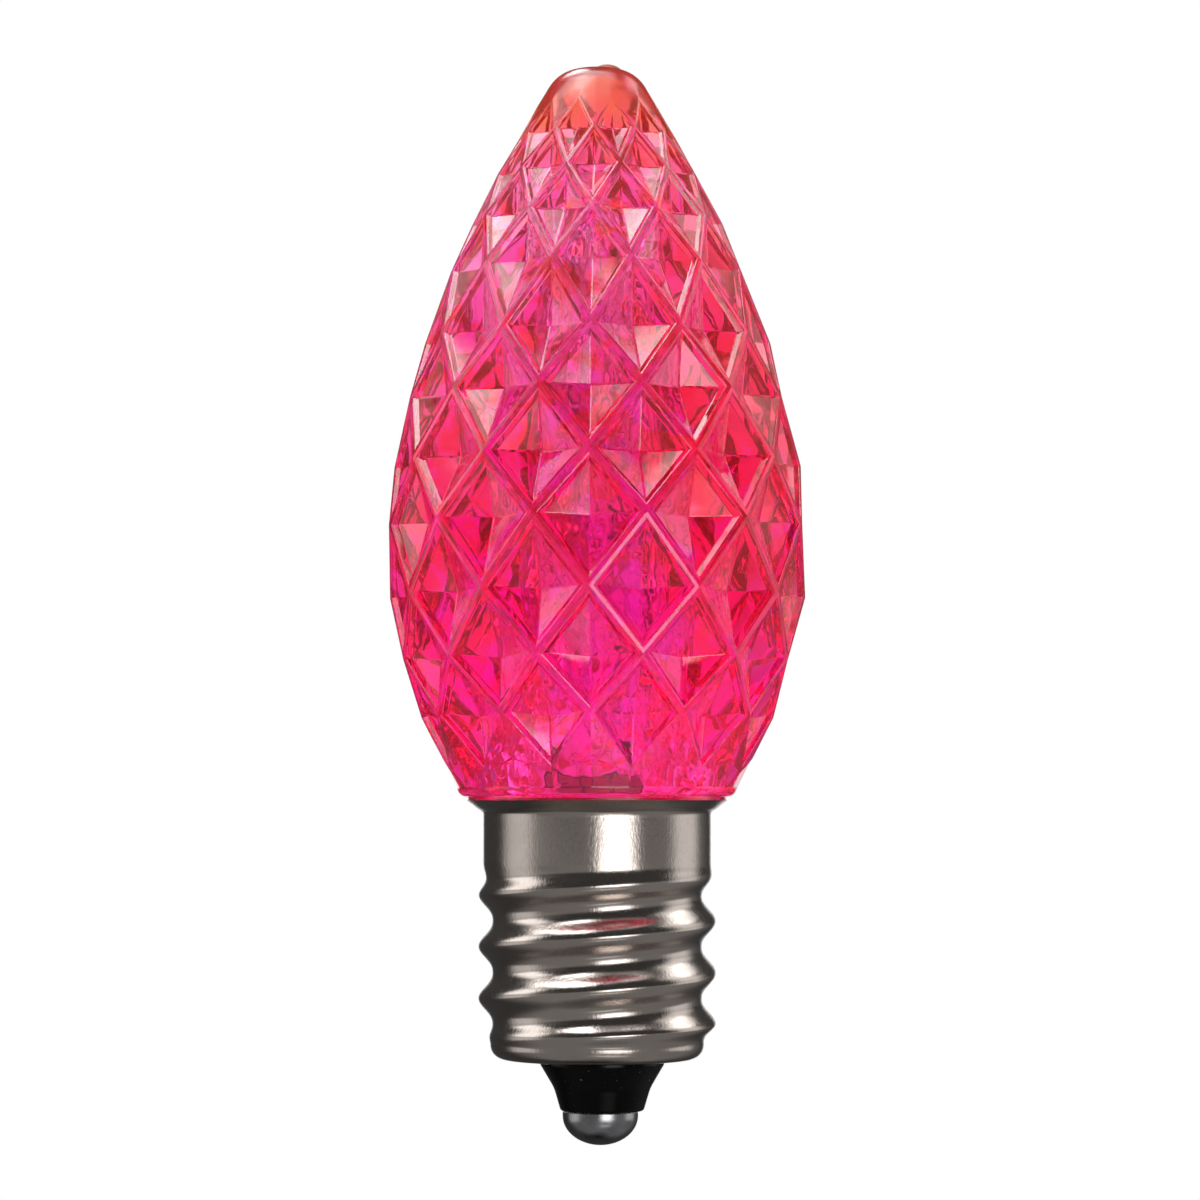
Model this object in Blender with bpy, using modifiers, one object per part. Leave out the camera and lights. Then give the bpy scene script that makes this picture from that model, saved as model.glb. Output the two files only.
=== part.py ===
"""A small screw-base decoration lamp with a faceted lens, built piece by piece.

Metres, Z up along the lamp's axis. The tip of the end contact is the origin.
"""
import math

import bmesh
import bpy
from mathutils import Vector

MM = 0.001
TURN = 2.0 * math.pi
CUT_PAST = 1.0 * MM

# Gaps between pieces
SEAM = 0.05 * MM
SOLDER = 0.03 * MM

# Screw shell, drawn from sheet
SHELL_WALL = 0.20 * MM
SHELL_RADIUS = 5.62 * MM
RIM_HEIGHT = 16.90 * MM
FLARE_RUN = 0.81 * MM
FLARE_RISE = 0.53 * MM
PLAIN_BAND = 3.05 * MM
FLOOR_HEIGHT = 4.22 * MM
FLOOR_ROUND = 0.70 * MM
SHELL_STEPS = 44
RIM_RADIUS = SHELL_RADIUS + FLARE_RUN

# Rolled thread, right-handed, between the plain band and the round of the floor
THREAD_PITCH = 2.54 * MM
THREAD_DEPTH = 0.69 * MM
CREST_RADIUS = 5.85 * MM
CREST_HEIGHT = 10.35 * MM
CREST_ANGLE = math.radians(272.0)
CREST_SHARPNESS = 1.25
THREAD_RUN_OUT = 1.75 * MM
THREAD_RUN_IN = 1.08 * MM
THREAD_RINGS = 34
FOOT_STEP = 0.10 * MM
ROOT_RADIUS = CREST_RADIUS - THREAD_DEPTH
FOOT_RADIUS = ROOT_RADIUS + FOOT_STEP
THREAD_TOP = RIM_HEIGHT - PLAIN_BAND
THREAD_FOOT = FLOOR_HEIGHT + FLOOR_ROUND

# Insulator, moulded into the floor of the shell a little off the axis
INSULATOR_SHIFT = 0.25 * MM
INSULATOR_NECK = 2.60 * MM
INSULATOR_FLANGE = 0.46 * MM
INSULATOR_LIP = 0.22 * MM
INSULATOR_KNEE_RADIUS = 2.38 * MM
INSULATOR_KNEE_HEIGHT = 2.80 * MM
INSULATOR_END_RADIUS = 2.05 * MM
INSULATOR_END_HEIGHT = 1.68 * MM
INSULATOR_TOP = 6.30 * MM
DISC_GAP = 0.41 * MM
INSULATOR_RIM = INSULATOR_NECK + INSULATOR_FLANGE
INSULATOR_DISC = ROOT_RADIUS - SHELL_WALL - DISC_GAP

# End contact, a solder dome on a short stem
CONTACT_SHIFT = 0.16 * MM
CONTACT_RADIUS = 1.86 * MM
CONTACT_STEM = 0.90 * MM
CONTACT_STEM_LENGTH = 1.30 * MM

# Lens: each ring of the rib lattice from the top down. A ring is given by its nodes' height over
# the shell's rim, as a share of the lens's height, and their radius, as a share of the lens's
LENS_HEIGHT = 36.46 * MM
LENS_RADIUS = 10.47 * MM
LATTICE = (
    (0.949, 0.287),
    (0.905, 0.375),
    (0.850, 0.485),
    (0.787, 0.597),
    (0.716, 0.706),
    (0.623, 0.822),
    (0.542, 0.903),
    (0.454, 0.965),
    (0.370, 1.000),
    (0.275, 0.984),
    (0.188, 0.929),
    (0.112, 0.832),
    (0.036, 0.697),
)
FACETS_ROUND = 12
RIB_HALF = 0.23 * MM
RIB_SIDE = 0.22 * MM
RIB_RISE = 0.27 * MM
PIT_DEPTH = 1.25 * MM
PIT_DROP = 0.10 * MM
LENS_TOP = RIM_HEIGHT + LENS_HEIGHT

# Smooth cap over the lattice, in the same shares, and the gate mark on it
CAP = ((0.965, 0.252), (0.982, 0.214), (0.991, 0.180), (0.997, 0.143))
GATE_SHIFT = 0.50 * MM
GATE_RADIUS = 0.82 * MM
GATE_HEIGHT = 0.26 * MM
GATE_SINK = 0.30 * MM

# Smooth collar under the lattice: height over the rim and reach past the lip, which stands over the
# flare. Between the feet of the ribs the collar's edge rises to low arches.
COLLAR = ((0.65 * MM, 0.45 * MM), (0.46 * MM, 0.38 * MM), (0.25 * MM, 0.20 * MM))
LIP_OVER = 0.05 * MM
ARCH_RISE = 0.74 * MM
ARCH_STEP = 0.10 * MM
LIP_RADIUS = RIM_RADIUS + LIP_OVER

# Neck inside the shell's plain band and the tapered hollow above it
NECK_CLEAR = 0.10 * MM
NECK_WALL = 0.97 * MM
TOP_WALL = 6.86 * MM
HOLLOW_TIP = 3.00 * MM
HOLLOW_DOME = 1.40 * MM
HOLLOW_STEPS = 32
NECK_RADIUS = SHELL_RADIUS - SHELL_WALL - SEAM
NECK_END = THREAD_TOP + NECK_CLEAR
HOLLOW_MOUTH = NECK_RADIUS - NECK_WALL
HOLLOW_TOP = LENS_TOP - TOP_WALL

# Circuit board standing on the axis, with its ears in slots in the neck and its top in the lens's foot
BOARD_THICK = 0.80 * MM
BOARD_HALF = 2.20 * MM
BOARD_OVER = 3.10 * MM
BOARD_SEAT = 0.50 * MM
EAR_REACH = 0.32 * MM
EAR_LIFT = 0.15 * MM
EAR_HEIGHT = 2.30 * MM
NOTCH_HALF = 0.60 * MM
NOTCH_HEIGHT = 1.60 * MM
BOARD_FOOT = INSULATOR_TOP - BOARD_SEAT + SEAM
BOARD_TOP = RIM_HEIGHT + BOARD_OVER
EAR_HALF = HOLLOW_MOUTH + EAR_REACH
EAR_FOOT = NECK_END + EAR_LIFT
EAR_TOP = EAR_FOOT + EAR_HEIGHT

# Light chips, in a row along the board's top edge on each face
CHIP_SIZE = (1.20 * MM, 0.50 * MM, 1.60 * MM)
CHIP_WINDOW = (0.90 * MM, 0.10 * MM, 1.20 * MM)
CHIP_MARGIN = 0.35 * MM
CHIP_GAP = 0.20 * MM
CHIPS_IN_ROW = 3

# Drive parts, half way up the board between the insulator and the ears
RECTIFIER_SIZE = (3.90 * MM, 2.40 * MM, 4.60 * MM)
RESISTOR_SIZE = (3.10 * MM, 0.60 * MM, 1.60 * MM)
RESISTOR_SPACING = 2.60 * MM
DRIVE_HEIGHT = 0.5 * (INSULATOR_TOP + EAR_FOOT)

# Lead wires, how far the side one lies below the thread's top and how far it bends up
LEAD_RADIUS = 0.25 * MM
SIDE_LEAD_DROP = 1.25 * MM
SIDE_LEAD_ARCH = 0.35 * MM
SIDE_LEAD_RISE = 0.20 * MM


def clear_file():
    for thing in list(bpy.data.objects):
        bpy.data.objects.remove(thing, do_unlink=True)
    for group in list(bpy.data.collections):
        bpy.data.collections.remove(group)


def new_collection(name):
    group = bpy.data.collections.new(name)
    bpy.context.scene.collection.children.link(group)
    return group


def material(name, colour, rough, metallic=0.0, alpha=1.0):
    made = bpy.data.materials.new(name)
    made.use_nodes = True
    shader = made.node_tree.nodes["Principled BSDF"]
    shader.inputs["Base Color"].default_value = (*colour, 1.0)
    shader.inputs["Roughness"].default_value = rough
    shader.inputs["Metallic"].default_value = metallic
    shader.inputs["Alpha"].default_value = alpha
    return made


def add_object(name, bm, group, paint=None):
    mesh = bpy.data.meshes.new(name)
    bm.to_mesh(mesh)
    bm.free()
    thing = bpy.data.objects.new(name, mesh)
    group.objects.link(thing)
    if paint is not None:
        mesh.materials.append(paint)
    return thing


def apply_modifiers(thing):
    graph = bpy.context.evaluated_depsgraph_get()
    graph.update()
    mesh = bpy.data.meshes.new_from_object(thing.evaluated_get(graph))
    thing.modifiers.clear()
    old = thing.data
    thing.data = mesh
    bpy.data.meshes.remove(old)


def smooth(thing, degrees=32.0):
    for face in thing.data.polygons:
        face.use_smooth = True
    thing.data.set_sharp_from_angle(angle=math.radians(degrees))


def spun(points, steps, closed):
    """A solid of revolution from (radius, height) points; closed joins the last point to the first."""
    bm = bmesh.new()
    chain = [bm.verts.new((radius, 0.0, height)) for radius, height in points]
    edges = [bm.edges.new(pair) for pair in zip(chain, chain[1:])]
    if closed:
        edges.append(bm.edges.new((chain[-1], chain[0])))
    bmesh.ops.spin(
        bm,
        geom=chain + edges,
        cent=(0.0, 0.0, 0.0),
        axis=(0.0, 0.0, 1.0),
        angle=TURN,
        steps=steps,
        use_merge=True,
    )
    bmesh.ops.remove_doubles(bm, verts=bm.verts, dist=1e-7)
    bmesh.ops.recalc_face_normals(bm, faces=bm.faces)
    return bm


def box(size, centre):
    bm = bmesh.new()
    bmesh.ops.create_cube(bm, size=1.0)
    bmesh.ops.scale(bm, vec=Vector(size), verts=bm.verts)
    bmesh.ops.translate(bm, vec=Vector(centre), verts=bm.verts)
    return bm


def shift_x(thing, distance):
    bm = bmesh.new()
    bm.from_mesh(thing.data)
    bmesh.ops.translate(bm, vec=Vector((distance, 0.0, 0.0)), verts=bm.verts)
    bm.to_mesh(thing.data)
    bm.free()


def boolean(thing, tool, operation="DIFFERENCE"):
    tool.hide_render = True
    tool.display_type = "WIRE"
    step = thing.modifiers.new(operation.lower(), "BOOLEAN")
    step.operation = operation
    step.solver = "EXACT"
    step.object = tool
    apply_modifiers(thing)


def eased(value, start, end):
    """0 before start, 1 after end and a smooth rise between them; start may be above end."""
    share = min(1.0, max(0.0, (value - start) / (end - start)))
    return share * share * (3.0 - 2.0 * share)


def flare_line(radius, lift):
    """Height over the flare's outer cone at a radius, raised square to the cone by lift."""
    slope = FLARE_RISE / FLARE_RUN
    return RIM_HEIGHT + (radius - RIM_RADIUS) * slope + lift * math.hypot(1.0, slope)


def thread_radius(angle, height):
    """Radius of the shell wall in the threaded stretch."""
    turns = (height - CREST_HEIGHT) / THREAD_PITCH - (angle - CREST_ANGLE) / TURN
    wave = 0.5 + 0.5 * math.cos(TURN * turns)
    rolled = ROOT_RADIUS + (CREST_RADIUS - ROOT_RADIUS) * wave**CREST_SHARPNESS
    plain = SHELL_RADIUS if height > 0.5 * (THREAD_TOP + THREAD_FOOT) else FOOT_RADIUS
    into = eased(height, THREAD_TOP, THREAD_TOP - THREAD_RUN_OUT)
    into *= eased(height, THREAD_FOOT, THREAD_FOOT + THREAD_RUN_IN)
    return plain + (rolled - plain) * into


def build_shell(group, cutters, paint):
    profile = [(RIM_RADIUS, RIM_HEIGHT)]
    flare_foot = RIM_HEIGHT - FLARE_RISE
    profile.append((SHELL_RADIUS + 0.25 * FLARE_RUN, flare_foot + 0.10 * FLARE_RISE))
    profile.append((SHELL_RADIUS, flare_foot - 0.15 * FLARE_RISE))
    for ring in range(THREAD_RINGS + 1):
        share = ring / THREAD_RINGS
        profile.append((SHELL_RADIUS, THREAD_TOP + (THREAD_FOOT - THREAD_TOP) * share))
    for part in range(1, 5):
        turn = 0.5 * math.pi * part / 4
        profile.append((
            FOOT_RADIUS - FLOOR_ROUND * (1.0 - math.cos(turn)),
            FLOOR_HEIGHT + FLOOR_ROUND * (1.0 - math.sin(turn)),
        ))
    profile.append((0.5 * INSULATOR_NECK, FLOOR_HEIGHT))
    bm = spun(profile, SHELL_STEPS, closed=False)
    for vert in bm.verts:
        if THREAD_FOOT - 1e-6 <= vert.co.z <= THREAD_TOP + 1e-6:
            angle = math.atan2(vert.co.y, vert.co.x) % TURN
            radius = thread_radius(angle, vert.co.z)
            here = math.hypot(vert.co.x, vert.co.y)
            vert.co.x *= radius / here
            vert.co.y *= radius / here
    outward = sum(face.normal.dot(Vector((face.calc_center_median().x, face.calc_center_median().y, 0.0)))
                  for face in bm.faces)
    if outward < 0.0:
        bmesh.ops.reverse_faces(bm, faces=bm.faces)
    shell = add_object("screw_shell", bm, group, paint)
    sheet = shell.modifiers.new("sheet", "SOLIDIFY")
    sheet.thickness = SHELL_WALL
    sheet.offset = -1.0
    sheet.use_even_offset = True
    apply_modifiers(shell)
    hole = spun(
        [(0.0, FLOOR_HEIGHT - CUT_PAST), (INSULATOR_NECK + SEAM, FLOOR_HEIGHT - CUT_PAST),
         (INSULATOR_NECK + SEAM, FLOOR_HEIGHT + CUT_PAST), (0.0, FLOOR_HEIGHT + CUT_PAST)],
        SHELL_STEPS, closed=False)
    tool = add_object("shell_hole_cutter", hole, cutters)
    shift_x(tool, INSULATOR_SHIFT)
    boolean(shell, tool)
    smooth(shell, 40.0)
    return shell


def build_insulator(group, cutters, paint):
    rim = FLOOR_HEIGHT - SEAM
    bore = CONTACT_STEM + SEAM
    lead_bore = LEAD_RADIUS + SEAM
    stem_top = INSULATOR_END_HEIGHT - SEAM + CONTACT_STEM_LENGTH
    disc_foot = FLOOR_HEIGHT + SHELL_WALL + SEAM
    points = [
        (INSULATOR_END_RADIUS, INSULATOR_END_HEIGHT),
        (INSULATOR_KNEE_RADIUS, INSULATOR_KNEE_HEIGHT),
        (INSULATOR_RIM, rim - INSULATOR_LIP),
        (INSULATOR_RIM, rim),
        (INSULATOR_NECK, rim),
        (INSULATOR_NECK, disc_foot),
        (INSULATOR_DISC, disc_foot),
        (INSULATOR_DISC, INSULATOR_TOP),
        (lead_bore, INSULATOR_TOP),
        (lead_bore, stem_top + SEAM),
        (bore, stem_top + SEAM),
        (bore, INSULATOR_END_HEIGHT),
    ]
    plug = add_object("insulator", spun(points, 36, closed=True), group, paint)
    # The outside sits off the axis, and the bore follows the contact
    bm = bmesh.new()
    bm.from_mesh(plug.data)
    for vert in bm.verts:
        inside = math.hypot(vert.co.x, vert.co.y) < 0.5 * (bore + INSULATOR_END_RADIUS)
        vert.co.x += CONTACT_SHIFT if inside else INSULATOR_SHIFT
    bm.to_mesh(plug.data)
    bm.free()
    depth = BOARD_SEAT
    slot = box(
        (2.0 * (BOARD_HALF + SEAM), BOARD_THICK + 2.0 * SEAM, 2.0 * depth),
        (0.0, 0.0, INSULATOR_TOP),
    )
    boolean(plug, add_object("insulator_slot_cutter", slot, cutters))
    smooth(plug)
    return plug


def build_contact(group, paint):
    top = INSULATOR_END_HEIGHT - SEAM
    points = [(0.0, 0.0)]
    for part in range(1, 9):
        turn = 0.5 * math.pi * part / 8
        points.append((CONTACT_RADIUS * math.sin(turn), 0.88 * top * (1.0 - math.cos(turn))))
    points.append((CONTACT_RADIUS, top))
    points.append((CONTACT_STEM, top))
    points.append((CONTACT_STEM, top + CONTACT_STEM_LENGTH))
    points.append((0.0, top + CONTACT_STEM_LENGTH))
    contact = add_object("centre_contact", spun(points, 32, closed=False), group, paint)
    shift_x(contact, CONTACT_SHIFT)
    smooth(contact)
    return contact


def ring_size(shares):
    """Height and radius of a lens ring from its shares."""
    return RIM_HEIGHT + shares[0] * LENS_HEIGHT, shares[1] * LENS_RADIUS


def round_points(ring, count, offset):
    height, radius = ring
    points = []
    for index in range(count):
        angle = 1.5 * math.pi + TURN * (index + offset) / count
        points.append(Vector((radius * math.cos(angle), radius * math.sin(angle), height)))
    return points


def ring_row(bm, ring, count, offset=0.0):
    return [bm.verts.new(point) for point in round_points(ring, count, offset)]


def lattice_body():
    """The outside of the lens with its cap, collar, underside and neck, before the pits are cut in."""
    bm = bmesh.new()
    count = FACETS_ROUND
    fine = 2 * count
    rings = [ring_size(shares) for shares in LATTICE]
    # Even rings have their nodes half a facet round from the odd ones
    nodes = [ring_row(bm, ring, count, 0.5 if level % 2 == 0 else 0.0) for level, ring in enumerate(rings)]
    last = len(rings) - 1

    diamonds = []
    for level in range(1, last):
        shift = 0 if level % 2 == 1 else 1
        for index in range(count):
            # A diamond between two neighbours of this ring, with a node above and one below
            above = nodes[level - 1][(index + shift) % count]
            below = nodes[level + 1][(index + shift) % count]
            right = nodes[level][(index + 1) % count]
            diamonds.append((level, bm.faces.new((nodes[level][index], below, right, above))))

    # Cap: plain rings with two points to a facet, down to the lattice's first ring
    between = ring_row(bm, rings[0], count)
    upper = []
    for index in range(count):
        upper += [between[index], nodes[0][index]]
        bm.faces.new((nodes[1][index], nodes[0][index], between[index], nodes[0][index - 1]))
    for shares in CAP:
        row = ring_row(bm, ring_size(shares), fine)
        for index in range(fine):
            near = (index + 1) % fine
            bm.faces.new((upper[index], upper[near], row[near], row[index]))
        upper = row
    top = bm.verts.new((0.0, 0.0, LENS_TOP))
    for index in range(fine):
        bm.faces.new((upper[index], upper[(index + 1) % fine], top))

    # Collar: the ribs end on it, and its edge is stepped down under an arch between each two feet
    skirt = [(RIM_HEIGHT + rise, LIP_RADIUS + out) for rise, out in COLLAR]
    collar = ring_row(bm, skirt[0], fine)
    foot_height, foot_radius = rings[last]
    share = ARCH_RISE / (rings[last - 1][0] - foot_height)
    arch_radius = foot_radius + share * (rings[last - 1][1] - foot_radius)
    arches = ring_row(bm, (foot_height + ARCH_RISE, arch_radius), count)
    steps = ring_row(bm, (foot_height + ARCH_RISE - ARCH_STEP, arch_radius - ARCH_STEP), count)
    for index in range(count):
        peak = nodes[last - 1][index]
        for foot, side in ((nodes[last][index - 1], 2 * index - 1), (nodes[last][index], 2 * index + 1)):
            bm.faces.new((peak, foot, arches[index]))
            bm.faces.new((foot, steps[index], arches[index]))
            bm.faces.new((foot, collar[side % fine], collar[2 * index], steps[index]))
    lift = SHELL_WALL + SEAM
    skirt += [(flare_line(LIP_RADIUS, lift), LIP_RADIUS), (flare_line(NECK_RADIUS, lift), NECK_RADIUS)]
    skirt += [(NECK_END, NECK_RADIUS)]
    lower = collar
    for ring in skirt[1:]:
        row = ring_row(bm, ring, fine)
        for index in range(fine):
            near = (index + 1) % fine
            bm.faces.new((row[index], row[near], lower[near], lower[index]))
        lower = row
    bm.faces.new(list(reversed(lower)))
    bmesh.ops.recalc_face_normals(bm, faces=bm.faces)
    return bm, diamonds, rings


def build_lens(group, cutters, paint):
    bm, diamonds, rings = lattice_body()
    for level in range(1, len(rings) - 1):
        faces = [face for row, face in diamonds if row == level]
        height, radius = rings[level]
        scale = 0.35 + 0.65 * radius / LENS_RADIUS
        bmesh.ops.inset_individual(
            bm, faces=faces, thickness=RIB_HALF * scale, depth=0.0, use_even_offset=True)
        bmesh.ops.inset_individual(
            bm, faces=faces, thickness=RIB_SIDE * scale, depth=-RIB_RISE * scale, use_even_offset=True)
        bottoms = bmesh.ops.poke(bm, faces=faces, offset=0.0)["verts"]
        deep = radius - PIT_DEPTH * scale
        for bottom in bottoms:
            angle = math.atan2(bottom.co.y, bottom.co.x)
            bottom.co = Vector((deep * math.cos(angle), deep * math.sin(angle), height - PIT_DROP * scale))
    bmesh.ops.recalc_face_normals(bm, faces=bm.faces)
    lens = add_object("lens", bm, group, paint)

    dome_foot = HOLLOW_TOP - HOLLOW_DOME
    below = NECK_END - CUT_PAST
    points = [(0.0, below), (HOLLOW_MOUTH, below), (HOLLOW_MOUTH, NECK_END), (HOLLOW_TIP, dome_foot)]
    for part in range(1, 5):
        turn = 0.5 * math.pi * part / 5
        points.append((HOLLOW_TIP * math.cos(turn), dome_foot + HOLLOW_DOME * math.sin(turn)))
    points.append((0.0, HOLLOW_TOP))
    hollow = add_object("lens_hollow_cutter", spun(points, HOLLOW_STEPS, closed=False), cutters)
    boolean(lens, hollow)
    slot_height = EAR_TOP + SEAM - NECK_END + CUT_PAST
    slots = box(
        (2.0 * (EAR_HALF + SEAM), BOARD_THICK + 2.0 * SEAM, slot_height),
        (0.0, 0.0, EAR_TOP + SEAM - 0.5 * slot_height),
    )
    boolean(lens, add_object("lens_slot_cutter", slots, cutters))

    gate = bmesh.new()
    bmesh.ops.create_uvsphere(gate, u_segments=14, v_segments=8, radius=1.0)
    tall = GATE_HEIGHT + GATE_SINK
    bmesh.ops.scale(gate, vec=Vector((GATE_RADIUS, 0.85 * GATE_RADIUS, tall)), verts=gate.verts)
    bmesh.ops.translate(
        gate, vec=Vector((GATE_SHIFT, -0.4 * GATE_SHIFT, LENS_TOP + GATE_HEIGHT - tall)), verts=gate.verts)
    boolean(lens, add_object("gate_mark", gate, cutters), "UNION")
    return lens


def build_board(group, paint):
    outline = [
        (-BOARD_HALF, BOARD_FOOT),
        (-NOTCH_HALF, BOARD_FOOT),
        (-NOTCH_HALF, BOARD_FOOT + NOTCH_HEIGHT),
        (NOTCH_HALF, BOARD_FOOT + NOTCH_HEIGHT),
        (NOTCH_HALF, BOARD_FOOT),
        (BOARD_HALF, BOARD_FOOT),
        (BOARD_HALF, EAR_FOOT),
        (EAR_HALF, EAR_FOOT),
        (EAR_HALF, EAR_TOP),
        (BOARD_HALF, EAR_TOP),
        (BOARD_HALF, BOARD_TOP),
        (-BOARD_HALF, BOARD_TOP),
        (-BOARD_HALF, EAR_TOP),
        (-EAR_HALF, EAR_TOP),
        (-EAR_HALF, EAR_FOOT),
        (-BOARD_HALF, EAR_FOOT),
    ]
    bm = bmesh.new()
    face = bm.faces.new([bm.verts.new((x, -0.5 * BOARD_THICK, z)) for x, z in outline])
    pushed = bmesh.ops.extrude_face_region(bm, geom=[face])
    moved = [item for item in pushed["geom"] if isinstance(item, bmesh.types.BMVert)]
    bmesh.ops.translate(bm, vec=Vector((0.0, BOARD_THICK, 0.0)), verts=moved)
    bmesh.ops.recalc_face_normals(bm, faces=bm.faces)
    return add_object("circuit_board", bm, group, paint)


def mounted(name, size, across, height, facing, group, paint):
    """A block soldered to the board's front face (facing -1) or back face (+1)."""
    depth = 0.5 * BOARD_THICK + SOLDER + 0.5 * size[1]
    return add_object(name, box(size, (across, facing * depth, height)), group, paint)


def build_chips(group, cutters, paint):
    width, thick, tall = CHIP_SIZE
    height = BOARD_TOP - CHIP_MARGIN - 0.5 * tall
    for index in range(CHIPS_IN_ROW):
        across = (index - 0.5 * (CHIPS_IN_ROW - 1)) * (width + CHIP_GAP)
        for word, facing in (("front", -1.0), ("back", 1.0)):
            chip = mounted(f"light_chip_{word}_{index + 1}", CHIP_SIZE, across, height, facing, group, paint)
            outer = facing * (0.5 * BOARD_THICK + SOLDER + thick)
            well = box((CHIP_WINDOW[0], 2.0 * CHIP_WINDOW[1], CHIP_WINDOW[2]), (across, outer, height))
            boolean(chip, add_object(f"chip_well_{word}_{index + 1}", well, cutters))


def build_drive(group, paint):
    mounted("rectifier", RECTIFIER_SIZE, 0.0, DRIVE_HEIGHT, 1.0, group, paint)
    for name, side in (("resistor_lower", -0.5), ("resistor_upper", 0.5)):
        height = DRIVE_HEIGHT + side * RESISTOR_SPACING
        mounted(name, RESISTOR_SIZE, 0.0, height, -1.0, group, paint)


def wire(name, points, group, paint):
    curve = bpy.data.curves.new(name, "CURVE")
    curve.dimensions = "3D"
    curve.bevel_depth = LEAD_RADIUS
    curve.bevel_resolution = 2
    curve.use_fill_caps = True
    line = curve.splines.new("POLY")
    line.points.add(len(points) - 1)
    for knot, point in zip(line.points, points):
        knot.co = (*point, 1.0)
    thing = bpy.data.objects.new(name, curve)
    group.objects.link(thing)
    curve.materials.append(paint)
    return thing


def build_leads(group, paint):
    stem_top = INSULATOR_END_HEIGHT - SEAM + CONTACT_STEM_LENGTH
    notch_top = BOARD_FOOT + NOTCH_HEIGHT
    wire("centre_lead", [(CONTACT_SHIFT, 0.0, stem_top + SOLDER), (CONTACT_SHIFT, 0.0, notch_top - SOLDER)],
         group, paint)
    reach = ROOT_RADIUS - SHELL_WALL - SEAM
    start = BOARD_HALF + SOLDER
    height = THREAD_TOP - SIDE_LEAD_DROP
    wire("side_lead", [
        (start, 0.0, height),
        (0.5 * (start + reach), 0.0, height + SIDE_LEAD_ARCH),
        (reach, 0.0, height + SIDE_LEAD_RISE),
    ], group, paint)


clear_file()
lamp = new_collection("christmas_light_bulb")
cutting = new_collection("cutters")
build_lens(lamp, cutting, material("lens", (0.86, 0.04, 0.22), 0.08, alpha=0.6))
build_shell(lamp, cutting, material("screw_shell", (0.52, 0.49, 0.46), 0.28, metallic=1.0))
build_insulator(lamp, cutting, material("insulator", (0.012, 0.012, 0.013), 0.12))
build_contact(lamp, material("centre_contact", (0.42, 0.42, 0.44), 0.35, metallic=1.0))
build_board(lamp, material("circuit_board", (0.02, 0.08, 0.04), 0.40))
build_chips(lamp, cutting, material("light_chip", (0.85, 0.83, 0.78), 0.40))
build_drive(lamp, material("drive_part", (0.03, 0.03, 0.035), 0.45))
build_leads(lamp, material("lead_wire", (0.60, 0.58, 0.56), 0.30, metallic=1.0))
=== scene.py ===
"""Looks of the faceted decoration lamp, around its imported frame."""
import math

import bmesh
import bpy
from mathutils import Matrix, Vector


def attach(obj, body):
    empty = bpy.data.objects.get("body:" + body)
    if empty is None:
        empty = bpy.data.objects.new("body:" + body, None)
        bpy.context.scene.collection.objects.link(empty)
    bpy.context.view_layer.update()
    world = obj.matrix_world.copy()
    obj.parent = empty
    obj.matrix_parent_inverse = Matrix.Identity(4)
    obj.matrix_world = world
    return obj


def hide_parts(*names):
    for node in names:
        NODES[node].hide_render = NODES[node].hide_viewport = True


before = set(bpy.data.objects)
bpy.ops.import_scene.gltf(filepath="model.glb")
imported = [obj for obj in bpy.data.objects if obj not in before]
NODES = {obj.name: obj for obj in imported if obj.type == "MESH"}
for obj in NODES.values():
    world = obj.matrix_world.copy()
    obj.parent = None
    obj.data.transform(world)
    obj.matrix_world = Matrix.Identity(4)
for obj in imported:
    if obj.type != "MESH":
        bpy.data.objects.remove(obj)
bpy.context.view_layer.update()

MM = 0.001
TURN = 2.0 * math.pi

# Camera, from the fit to the photograph. Its angle starts at +x and runs round the lamp's axis.
CAMERA_DISTANCE = 175.0 * MM
CAMERA_HEIGHT = 16.5 * MM
CAMERA_ANGLE = math.radians(272.09)
AIM_HEIGHT = 26.83 * MM
AIM_RIGHT = 0.14 * MM
FOCAL_PIXELS = 3534.4
IMAGE_PIXELS = 1200.0
SENSOR_WIDTH = 36.0
NEAREST, FARTHEST = 0.005, 20.0


def set_view():
    """The Standard view, with its other settings at their defaults."""
    view = bpy.context.scene.view_settings
    view.view_transform = "Standard"
    view.look = "None"
    view.exposure = 0.0
    view.gamma = 1.0


def add_camera():
    """The camera at the photograph's viewing angle, with no depth of field."""
    toward = Vector((math.cos(CAMERA_ANGLE), math.sin(CAMERA_ANGLE), 0.0))
    right = Vector((-math.sin(CAMERA_ANGLE), math.cos(CAMERA_ANGLE), 0.0))
    data = bpy.data.cameras.new("camera")
    data.sensor_width = SENSOR_WIDTH
    data.lens = FOCAL_PIXELS / IMAGE_PIXELS * SENSOR_WIDTH
    data.clip_start = NEAREST
    data.clip_end = FARTHEST
    camera = bpy.data.objects.new("camera", data)
    bpy.context.scene.collection.objects.link(camera)
    camera.location = toward * CAMERA_DISTANCE + right * AIM_RIGHT + Vector((0.0, 0.0, CAMERA_HEIGHT))
    look = Vector((0.0, 0.0, AIM_HEIGHT)) + right * AIM_RIGHT - camera.location
    camera.rotation_euler = look.to_track_quat("-Z", "Y").to_euler()
    bpy.context.scene.camera = camera


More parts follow.
